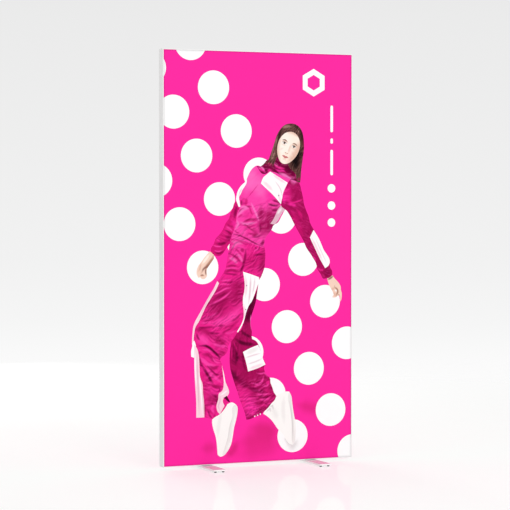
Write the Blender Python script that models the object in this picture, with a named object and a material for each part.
"""Free-standing, double-sided textile frame: the kind of banner stand whose printed cloth is held
by silicone strips pushed into grooves round an aluminium frame, on two flat feet that turn.

+Z is up and the stand faces -Y. The origin is on the floor, under the middle of the frame.
Lengths are in metres, written as millimetres times MM.
"""

import math

import bmesh
import bpy
from mathutils import Matrix, Vector

MM = 0.001
GAP = 0.3 * MM  # left between two pieces that touch on the real stand
CUT_PAST = 2 * MM  # how far a cutter runs past what it cuts

# Frame, outside sizes
FRAME_WIDTH = 1000 * MM
FRAME_HEIGHT = 2000 * MM
FRAME_DEPTH = 55 * MM

# Aluminium rail, seen in section: "in" runs from the frame's outer face towards its middle
RAIL_IN = 20 * MM
RAIL_WALL = 2.2 * MM
RAIL_WEB = 1.8 * MM
RAIL_EDGE_RADIUS = 0.8 * MM
LIP_IN = 3.5 * MM
LIP_NOSE = 2.0 * MM
GROOVE_MOUTH = 3.7 * MM
GROOVE_DEEP = 16 * MM
RIB_THICK = 1.7 * MM
RIB_CHAMFER = 0.5 * MM
MITRE_GAP = 0.3 * MM

# Textile and the silicone strip sewn along each of its edges
TEXTILE_THICK = 0.6 * MM
TEXTILE_SET_BACK = 0.2 * MM
STRIP_PLAY = 0.35 * MM  # at each side of the strip in its groove
STRIP_OFF_FLOOR = 1.5 * MM  # from the strip to the groove's floor
STRIP_SHORT_OF_CORNER = 25 * MM

# Corner connector and its grub screws
CONNECTOR_ARM = 90 * MM
CONNECTOR_CHAMFER = 3 * MM
GRUB_RADIUS = 3 * MM
GRUB_LONG = 5 * MM
GRUB_HEX = 3 * MM
GRUB_HEX_DEEP = 2.5 * MM
GRUB_STATION = 60 * MM  # from the frame's corner

# Brace across the middle, with a bracket at each end
BRACE_DEEP = 36 * MM
BRACE_TALL = 18 * MM
BRACE_WALL = 1.6 * MM
BRACKET_PLATE = 3 * MM
BRACKET_TALL = 56 * MM
BRACKET_SPIGOT = 28 * MM
BRACKET_SCREW_SPACING = 38 * MM
SCREW_RADIUS = 2.1 * MM
SCREW_HEAD_RADIUS = 4 * MM
SCREW_HEAD_TOP_RADIUS = 2.8 * MM
SCREW_HEAD_TALL = 2.4 * MM
SCREW_PAST_WALL = 4 * MM
SCREW_HEX = 2.5 * MM
SCREW_HEX_DEEP = 1.4 * MM

# Feet
FOOT_LONG = 390 * MM
FOOT_WIDE = 60 * MM
FOOT_THICK = 8 * MM
FOOT_CORNER_RADIUS = 3 * MM
FOOT_EDGE_BEVEL = 0.6 * MM
FOOT_INSET = 224 * MM  # frame's side to the foot's pivot
PAD_RADIUS = 6 * MM
PAD_TALL = 5.1 * MM
PAD_CHAMFER = 0.8 * MM
PAD_STEM_RADIUS = 2.5 * MM
PAD_STEM_LONG = 3 * MM
PAD_INSET = 10 * MM  # foot's edges to the pad's middle

# Pivot bolt, its washer and the nut inside the bottom rail
BOLT_RADIUS = 4 * MM
BOLT_HEAD_RADIUS = 7.7 * MM
BOLT_HEAD_RIM = 0.8 * MM
BOLT_HEX = 5 * MM
BOLT_HEX_DEEP = 3 * MM
BOLT_PAST_NUT = 1 * MM
WASHER_RADIUS = 16 * MM
WASHER_THICK = 1 * MM
NUT_LONG = 28 * MM
NUT_TALL = 7 * MM

# Segments of round pieces, steps of round corners, and the angles under which faces shade or stay as one
ROUND = 24
SMALL_ROUND = 16
CORNER_STEPS = 3
SMOOTH_BELOW = math.radians(35)
BEVEL_ABOVE = math.radians(60)

# Worked out from the sizes above
HALF_WIDTH = FRAME_WIDTH / 2
HALF_DEPTH = FRAME_DEPTH / 2
PLATE_BOTTOM = PAD_TALL + GAP
PLATE_TOP = PLATE_BOTTOM + FOOT_THICK
WASHER_BOTTOM = PLATE_TOP + GAP
FRAME_BOTTOM = WASHER_BOTTOM + WASHER_THICK + GAP
FRAME_TOP = FRAME_BOTTOM + FRAME_HEIGHT
FRAME_MIDDLE = (FRAME_BOTTOM + FRAME_TOP) / 2
CHAMBER_HALF = HALF_DEPTH - GROOVE_DEEP - RAIL_WEB
CHAMBER_IN = RAIL_IN - RAIL_WALL
CONNECTOR_NEAR = RAIL_WALL + GAP
CONNECTOR_FAR = CHAMBER_IN - GAP
RIB_NEAR = LIP_IN + GROOVE_MOUTH
RIB_FAR = RIB_NEAR + RIB_THICK
RIB_SET_BACK = TEXTILE_SET_BACK + TEXTILE_THICK + GAP
STRIP_NEAR = LIP_IN + STRIP_PLAY
STRIP_FAR = RIB_NEAR - STRIP_PLAY
TEXTILE_NEAR = LIP_IN + GAP


def clear_scene():
    for obj in list(bpy.data.objects):
        bpy.data.objects.remove(obj)


def make_material(name, colour, roughness, metallic=0.0):
    material = bpy.data.materials.new(name)
    material.use_nodes = True
    shader = material.node_tree.nodes["Principled BSDF"]
    shader.inputs["Base Color"].default_value = (*colour, 1.0)
    shader.inputs["Roughness"].default_value = roughness
    shader.inputs["Metallic"].default_value = metallic
    return material


def add_object(name, bm, material, smooth=False):
    """Turns a bmesh into a named object. A round piece is smooth, apart from its sharp edges."""
    bmesh.ops.recalc_face_normals(bm, faces=bm.faces)
    mesh = bpy.data.meshes.new(name)
    bm.to_mesh(mesh)
    bm.free()
    if smooth:
        mesh.shade_smooth()
        mesh.set_sharp_from_angle(angle=SMOOTH_BELOW)
    obj = bpy.data.objects.new(name, mesh)
    obj.data.materials.append(material)
    bpy.context.scene.collection.objects.link(obj)
    return obj


def cut(target, name, bm, operation="DIFFERENCE"):
    """Takes the cutter's shape out of the target, or joins it on."""
    cutter = add_object(name, bm, target.data.materials[0])
    cutter.hide_render = True
    cutter.display_type = "WIRE"
    modifier = target.modifiers.new(name, "BOOLEAN")
    modifier.operation = operation
    modifier.solver = "EXACT"
    modifier.object = cutter
    return cutter


def add_box(bm, low, high):
    middle = (Vector(low) + Vector(high)) / 2
    size = Vector(high) - Vector(low)
    matrix = Matrix.Translation(middle) @ Matrix.Diagonal((*size, 1))
    bmesh.ops.create_cube(bm, size=1, matrix=matrix)


def add_prism(bm, outline, low, high, place):
    """Extrudes a closed outline of (u, v) points from low to high. place(u, v, w) gives each point."""
    verts = [bm.verts.new((u, v, 0)) for u, v in outline]
    face = bm.faces.new(verts)
    made = bmesh.ops.extrude_face_region(bm, geom=[face])["geom"]
    raised = [item for item in made if isinstance(item, bmesh.types.BMVert)]
    for vert in verts:
        vert.co = place(vert.co.x, vert.co.y, low)
    for vert in raised:
        vert.co = place(vert.co.x, vert.co.y, high)


def add_turned(bm, profile, matrix, segments):
    """Turns (radius, height) points round the matrix's local Z, into a ring if they stay off the axis."""
    rings = []
    for radius, height in profile:
        if radius == 0:
            rings.append([bm.verts.new(matrix @ Vector((0, 0, height)))] * segments)
            continue
        angles = [math.tau * step / segments for step in range(segments)]
        points = [(radius * math.cos(angle), radius * math.sin(angle), height) for angle in angles]
        rings.append([bm.verts.new(matrix @ Vector(point)) for point in points])
    if profile[0][0] > 0:
        rings.append(rings[0])
    for below, above in zip(rings, rings[1:]):
        for step in range(segments):
            ahead = (step + 1) % segments
            corners = (below[step], below[ahead], above[ahead], above[step])
            bm.faces.new(list(dict.fromkeys(corners)))


def along(axis, point):
    """A matrix that turns local Z to the axis and moves the origin to the point."""
    return Matrix.Translation(point) @ Vector(axis).to_track_quat("Z", "Y").to_matrix().to_4x4()


def drill(target, name, holes, segments=SMALL_ROUND):
    """Cuts round holes, each given as (point, axis, radius, low, high) along its axis."""
    bm = bmesh.new()
    for point, axis, radius, low, high in holes:
        profile = [(0, low), (radius, low), (radius, high), (0, high)]
        add_turned(bm, profile, along(axis, point), segments)
    cut(target, name, bm)


def cut_hex_socket(target, name, matrix, across_flats, low, high):
    """Cuts a hexagon socket, from low to high along the matrix's local Z."""
    radius = across_flats / math.sqrt(3)
    bm = bmesh.new()
    add_turned(bm, [(0, low), (radius, low), (radius, high), (0, high)], matrix, 6)
    cut(target, name, bm)


def rounded_outline(half_u, half_v, radius):
    """A rectangle about the origin with round corners."""
    outline = []
    for quarter, (su, sv) in enumerate(((1, 1), (-1, 1), (-1, -1), (1, -1))):
        for step in range(CORNER_STEPS + 1):
            angle = (quarter + step / CORNER_STEPS) * math.pi / 2
            u = su * (half_u - radius) + radius * math.cos(angle)
            v = sv * (half_v - radius) + radius * math.sin(angle)
            outline.append((u, v))
    return outline


def rail_front_half():
    """The rail's section from its outer face round the front groove to its inner wall, as (in, depth)."""
    front = -HALF_DEPTH
    radius = RAIL_EDGE_RADIUS
    points = []
    for step in range(CORNER_STEPS + 1):
        angle = math.pi + step / CORNER_STEPS * math.pi / 2
        points.append((radius + radius * math.cos(angle), front + radius + radius * math.sin(angle)))
    points += [
        (LIP_IN, front),
        (LIP_IN, front + LIP_NOSE),
        (RAIL_WALL, front + LIP_NOSE + LIP_IN - RAIL_WALL),
        (RAIL_WALL, front + GROOVE_DEEP),
        (RIB_NEAR, front + GROOVE_DEEP),
        (RIB_NEAR, front + RIB_SET_BACK + RIB_CHAMFER),
        (RIB_NEAR + RIB_CHAMFER, front + RIB_SET_BACK),
        (RIB_FAR - RIB_CHAMFER, front + RIB_SET_BACK),
        (RIB_FAR, front + RIB_SET_BACK + RIB_CHAMFER),
        (RIB_FAR, front + GROOVE_DEEP),
        (RAIL_IN, front + GROOVE_DEEP),
    ]
    return points


def rail_section():
    """The rail's outline and the outline of the hollow chamber in it."""
    front = rail_front_half()
    back = [(inward, -depth) for inward, depth in reversed(front)]
    chamber = [
        (RAIL_WALL, -CHAMBER_HALF),
        (CHAMBER_IN, -CHAMBER_HALF),
        (CHAMBER_IN, CHAMBER_HALF),
        (RAIL_WALL, CHAMBER_HALF),
    ]
    return front + back, chamber


def add_rail(name, length, place, material):
    """A rail mitred at 45 degrees at both ends. place(inward, depth, run) gives a point of it."""
    bm = bmesh.new()
    for loop in rail_section():
        verts = [bm.verts.new((inward, depth, 0)) for inward, depth in loop]
        for pair in zip(verts, verts[1:] + verts[:1]):
            bm.edges.new(pair)
    bmesh.ops.triangle_fill(bm, edges=bm.edges[:], use_beauty=True)
    made = bmesh.ops.extrude_face_region(bm, geom=bm.faces[:])["geom"]
    raised = {item for item in made if isinstance(item, bmesh.types.BMVert)}
    for vert in bm.verts:
        inward, depth, _ = vert.co
        run = length / 2 - inward - MITRE_GAP / 2
        vert.co = place(inward, depth, run if vert in raised else -run)
    return add_object(name, bm, material, smooth=True)


def on_left(inward, depth, run):
    return Vector((inward - HALF_WIDTH, depth, FRAME_MIDDLE + run))


def on_right(inward, depth, run):
    return Vector((HALF_WIDTH - inward, depth, FRAME_MIDDLE + run))


def on_top(inward, depth, run):
    return Vector((run, depth, FRAME_TOP - inward))


def on_bottom(inward, depth, run):
    return Vector((run, depth, FRAME_BOTTOM + inward))


def inward_axis(place):
    return (place(1, 0, 0) - place(0, 0, 0)).normalized()


def grub_places(place, length):
    """Where one rail's two grub screws go. Local Z points inward from the chamber's inner wall."""
    runs = (GRUB_STATION - length / 2, length / 2 - GRUB_STATION)
    return [along(inward_axis(place), place(CHAMBER_IN, 0, run)) for run in runs]


def bracket_screw_places(place):
    """Where a bracket's screws go: local Z points inward and starts at the rail's inner face."""
    runs = (-BRACKET_SCREW_SPACING / 2, BRACKET_SCREW_SPACING / 2)
    return [along(inward_axis(place), place(RAIL_IN, 0, run)) for run in runs]


def holes_at(matrices, radius, low, high):
    """The same round hole at each place, along its local Z."""
    return [(m.translation, m.to_3x3() @ Vector((0, 0, 1)), radius, low, high) for m in matrices]


def add_connector(name, side, up, material):
    """An L that joins two rails from inside their chambers. side and up give its corner as signs."""
    near, far, arm, chamfer = CONNECTOR_NEAR, CONNECTOR_FAR, CONNECTOR_ARM, CONNECTOR_CHAMFER
    outline = [
        (near + chamfer, near),
        (arm, near),
        (arm, far),
        (far, far),
        (far, arm),
        (near, arm),
        (near, near + chamfer),
    ]
    corner_z = FRAME_TOP if up > 0 else FRAME_BOTTOM

    def place(u, v, w):
        return Vector((side * (HALF_WIDTH - u), w, corner_z - up * v))

    bm = bmesh.new()
    half = CHAMBER_HALF - GAP
    add_prism(bm, outline, -half, half, place)
    return add_object(name, bm, material)


def add_grub_screw(name, matrix, material):
    profile = [(0, 0), (GRUB_RADIUS, 0), (GRUB_RADIUS, GRUB_LONG), (0, GRUB_LONG)]
    bm = bmesh.new()
    add_turned(bm, profile, matrix, SMALL_ROUND)
    screw = add_object(name, bm, material, smooth=True)
    low, high = GRUB_LONG - GRUB_HEX_DEEP, GRUB_LONG + CUT_PAST
    cut_hex_socket(screw, name + "_socket", matrix, GRUB_HEX, low, high)


def add_brace(bracket_face, material):
    """The rectangular tube across the middle. bracket_face is how far from the middle its ends stop."""
    middle = Vector((0, 0, FRAME_MIDDLE))
    half = Vector((bracket_face, BRACE_DEEP / 2, BRACE_TALL / 2))
    bm = bmesh.new()
    add_box(bm, middle - half, middle + half)
    brace = add_object("middle_brace", bm, material)
    half += Vector((CUT_PAST, -BRACE_WALL, -BRACE_WALL))
    bm = bmesh.new()
    add_box(bm, middle - half, middle + half)
    cut(brace, "middle_brace_bore", bm)


def add_bracket(name, place, material):
    """A plate against the upright with a spigot that goes into the brace."""
    plate_near, plate_far = RAIL_IN + GAP, RAIL_IN + GAP + BRACKET_PLATE
    half_y, half_z = BRACE_DEEP / 2 - BRACE_WALL - GAP, BRACE_TALL / 2 - BRACE_WALL - GAP
    spigot = [(plate_near, -half_z), (plate_far + BRACKET_SPIGOT, -half_z)]
    spigot += [(inward, -run) for inward, run in reversed(spigot)]
    plate = [(plate_near, -BRACKET_TALL / 2), (plate_far, -BRACKET_TALL / 2)]
    plate += [(inward, -run) for inward, run in reversed(plate)]

    def turned(u, v, w):
        return place(u, w, v)

    bm = bmesh.new()
    add_prism(bm, plate, -BRACE_DEEP / 2, BRACE_DEEP / 2, turned)
    bracket = add_object(name, bm, material)
    bm = bmesh.new()
    add_prism(bm, spigot, -half_y, half_y, turned)
    cut(bracket, name + "_spigot", bm, "UNION")
    holes = holes_at(bracket_screw_places(place), SCREW_RADIUS + GAP, -CUT_PAST, BRACKET_PLATE + CUT_PAST)
    drill(bracket, name + "_holes", holes)


def add_bracket_screw(name, matrix, material):
    seat = GAP + BRACKET_PLATE + GAP
    tip = -RAIL_WALL - SCREW_PAST_WALL
    top = seat + SCREW_HEAD_TALL
    profile = [
        (0, tip),
        (SCREW_RADIUS, tip + SCREW_RADIUS),
        (SCREW_RADIUS, seat),
        (SCREW_HEAD_RADIUS, seat),
        (SCREW_HEAD_RADIUS, seat + SCREW_HEAD_TALL / 2),
        (SCREW_HEAD_TOP_RADIUS, top),
        (0, top),
    ]
    bm = bmesh.new()
    add_turned(bm, profile, matrix, SMALL_ROUND)
    screw = add_object(name, bm, material, smooth=True)
    cut_hex_socket(screw, name + "_socket", matrix, SCREW_HEX, top - SCREW_HEX_DEEP, top + CUT_PAST)


def add_textile(name, facing, material):
    """One printed cloth as a plain thin sheet. facing is -1 at the front and 1 at the back."""
    outer = HALF_DEPTH - TEXTILE_SET_BACK
    inner = outer - TEXTILE_THICK
    low_y, high_y = sorted((facing * outer, facing * inner))
    half_x, low_z, high_z = HALF_WIDTH - TEXTILE_NEAR, FRAME_BOTTOM + TEXTILE_NEAR, FRAME_TOP - TEXTILE_NEAR
    bm = bmesh.new()
    add_box(bm, (-half_x, low_y, low_z), (half_x, high_y, high_z))
    return add_object(name, bm, material)


def add_strip(name, facing, place, length, material):
    """One silicone strip in its groove, from just behind the cloth inward."""
    outer = HALF_DEPTH - RIB_SET_BACK
    inner = HALF_DEPTH - GROOVE_DEEP + STRIP_OFF_FLOOR
    run = length / 2 - STRIP_SHORT_OF_CORNER
    ends = (place(STRIP_NEAR, facing * outer, -run), place(STRIP_FAR, facing * inner, run))
    low = [min(pair) for pair in zip(*ends)]
    high = [max(pair) for pair in zip(*ends)]
    bm = bmesh.new()
    add_box(bm, low, high)
    return add_object(name, bm, material)


def bolt_profile(grow, low, high):
    """The pivot bolt's outline from its countersunk head up. grow widens it, to make its clearance."""
    rim_top = PLATE_BOTTOM + GAP + BOLT_HEAD_RIM
    cone_top = rim_top + BOLT_HEAD_RADIUS - BOLT_RADIUS
    return [
        (0, low),
        (BOLT_HEAD_RADIUS + grow, low),
        (BOLT_HEAD_RADIUS + grow, rim_top),
        (BOLT_RADIUS + grow, cone_top),
        (BOLT_RADIUS + grow, high),
        (0, high),
    ]


def pad_points():
    """The middles of one foot's pads, from its pivot."""
    x, y = FOOT_WIDE / 2 - PAD_INSET, FOOT_LONG / 2 - PAD_INSET
    return [(sx * x, sy * y) for sx in (-1, 1) for sy in (-1, 1)]


def add_foot(side, steel, rubber):
    """The plate and pads of one foot, hung on an empty at the pivot so that they turn together."""
    prefix = "left_foot" if side < 0 else "right_foot"
    pivot = bpy.data.objects.new(prefix + "_pivot", None)
    pivot.location = (side * (HALF_WIDTH - FOOT_INSET), 0, 0)
    bpy.context.scene.collection.objects.link(pivot)

    bm = bmesh.new()
    outline = rounded_outline(FOOT_WIDE / 2, FOOT_LONG / 2, FOOT_CORNER_RADIUS)
    add_prism(bm, outline, PLATE_BOTTOM, PLATE_TOP, lambda u, v, w: Vector((u, v, w)))
    plate = add_object(prefix + "_plate", bm, steel, smooth=True)
    bevel = plate.modifiers.new("edge", "BEVEL")
    bevel.width = FOOT_EDGE_BEVEL
    bevel.segments = 1
    bevel.limit_method = "ANGLE"
    bevel.angle_limit = BEVEL_ABOVE
    bm = bmesh.new()
    add_turned(bm, bolt_profile(GAP, PLATE_BOTTOM - CUT_PAST, PLATE_TOP + CUT_PAST), Matrix(), ROUND)
    for x, y in pad_points():
        stem = [(0, -PAD_TALL), (PAD_STEM_RADIUS + GAP, -PAD_TALL)]
        stem += [(PAD_STEM_RADIUS + GAP, PAD_STEM_LONG), (0, PAD_STEM_LONG)]
        add_turned(bm, stem, Matrix.Translation((x, y, PLATE_BOTTOM)), SMALL_ROUND)
    cutter = cut(plate, prefix + "_plate_holes", bm)

    profile = [
        (0, 0),
        (PAD_RADIUS - PAD_CHAMFER, 0),
        (PAD_RADIUS, PAD_CHAMFER),
        (PAD_RADIUS, PAD_TALL),
        (PAD_STEM_RADIUS, PAD_TALL),
        (PAD_STEM_RADIUS, PAD_TALL + PAD_STEM_LONG),
        (0, PAD_TALL + PAD_STEM_LONG),
    ]
    pads = []
    for number, (x, y) in enumerate(pad_points(), start=1):
        bm = bmesh.new()
        add_turned(bm, profile, Matrix(), SMALL_ROUND)
        pads.append(add_object(f"{prefix}_pad_{number}", bm, rubber, smooth=True))
        pads[-1].location = (x, y, 0)
    for obj in (plate, cutter, *pads):
        obj.parent = pivot


def add_foot_fixing(side, bottom_rail, steel, nylon):
    """Bolt, washer and nut that hold one foot to the bottom rail, and the rail's hole for the bolt."""
    prefix = "left_foot" if side < 0 else "right_foot"
    at = Matrix.Translation((side * (HALF_WIDTH - FOOT_INSET), 0, 0))
    nut_bottom = FRAME_BOTTOM + RAIL_WALL + GAP
    nut_top = nut_bottom + NUT_TALL
    bolt_bottom = PLATE_BOTTOM + GAP

    bm = bmesh.new()
    add_turned(bm, bolt_profile(0, bolt_bottom, nut_top + BOLT_PAST_NUT), at, ROUND)
    bolt = add_object(prefix + "_pivot_bolt", bm, steel, smooth=True)
    socket = prefix + "_bolt_socket"
    cut_hex_socket(bolt, socket, at, BOLT_HEX, bolt_bottom - CUT_PAST, bolt_bottom + BOLT_HEX_DEEP)

    bm = bmesh.new()
    hole = BOLT_RADIUS + GAP
    ring = [
        (hole, WASHER_BOTTOM),
        (WASHER_RADIUS, WASHER_BOTTOM),
        (WASHER_RADIUS, WASHER_BOTTOM + WASHER_THICK),
        (hole, WASHER_BOTTOM + WASHER_THICK),
    ]
    add_turned(bm, ring, at, ROUND)
    add_object(prefix + "_washer", bm, nylon, smooth=True)

    bm = bmesh.new()
    half_x, half_y, x = NUT_LONG / 2, CHAMBER_HALF - GAP, at.translation.x
    add_box(bm, (x - half_x, -half_y, nut_bottom), (x + half_x, half_y, nut_top))
    nut = add_object(prefix + "_nut", bm, steel)
    bore = (at.translation, (0, 0, 1), hole, nut_bottom - CUT_PAST, nut_top + CUT_PAST)
    drill(nut, prefix + "_nut_bore", [bore], ROUND)
    rail_hole = (at.translation, (0, 0, 1), hole, FRAME_BOTTOM - CUT_PAST, nut_bottom + CUT_PAST)
    drill(bottom_rail, prefix + "_rail_hole", [rail_hole], ROUND)


def build():
    clear_scene()
    white = make_material("white_powder_coat", (0.86, 0.86, 0.85), 0.45)
    silver = make_material("mill_aluminium", (0.72, 0.73, 0.75), 0.4, 1.0)
    zinc = make_material("zinc_steel", (0.62, 0.63, 0.66), 0.35, 1.0)
    cloth = make_material("printed_textile", (1.0, 0.03, 0.35), 0.8)
    silicone = make_material("clear_silicone", (0.85, 0.86, 0.84), 0.5)
    rubber = make_material("black_rubber", (0.03, 0.03, 0.03), 0.8)
    nylon = make_material("white_nylon", (0.9, 0.9, 0.88), 0.5)

    rails = {
        "left_upright": (on_left, FRAME_HEIGHT),
        "right_upright": (on_right, FRAME_HEIGHT),
        "top_rail": (on_top, FRAME_WIDTH),
        "bottom_rail": (on_bottom, FRAME_WIDTH),
    }
    made = {}
    for name, (place, length) in rails.items():
        made[name] = add_rail(name, length, place, white)
        places = grub_places(place, length)
        for number, matrix in enumerate(places, start=1):
            add_grub_screw(f"{name}_grub_screw_{number}", matrix, zinc)
        holes = holes_at(places, GRUB_RADIUS + GAP, -CUT_PAST, RAIL_WALL + CUT_PAST)
        drill(made[name], name + "_grub_holes", holes)

    for up, level in ((1, "top"), (-1, "bottom")):
        for side, hand in ((-1, "left"), (1, "right")):
            add_connector(f"{level}_{hand}_connector", side, up, zinc)

    bracket_face = HALF_WIDTH - RAIL_IN - GAP - BRACKET_PLATE - GAP
    add_brace(bracket_face, silver)
    for name in ("left", "right"):
        place = rails[name + "_upright"][0]
        places = bracket_screw_places(place)
        add_bracket(name + "_brace_bracket", place, silver)
        for number, matrix in enumerate(places, start=1):
            add_bracket_screw(f"{name}_bracket_screw_{number}", matrix, zinc)
        holes = holes_at(places, SCREW_RADIUS + GAP, -RAIL_WALL - CUT_PAST, CUT_PAST)
        drill(made[name + "_upright"], name + "_bracket_rail_holes", holes)

    for face, facing in (("front", -1), ("back", 1)):
        add_textile(face + "_textile", facing, cloth)
        for name, (place, length) in rails.items():
            edge = name.split("_")[0]
            add_strip(f"{face}_{edge}_silicone_strip", facing, place, length, silicone)

    for side in (-1, 1):
        add_foot(side, white, rubber)
        add_foot_fixing(side, made["bottom_rail"], zinc, nylon)


build()
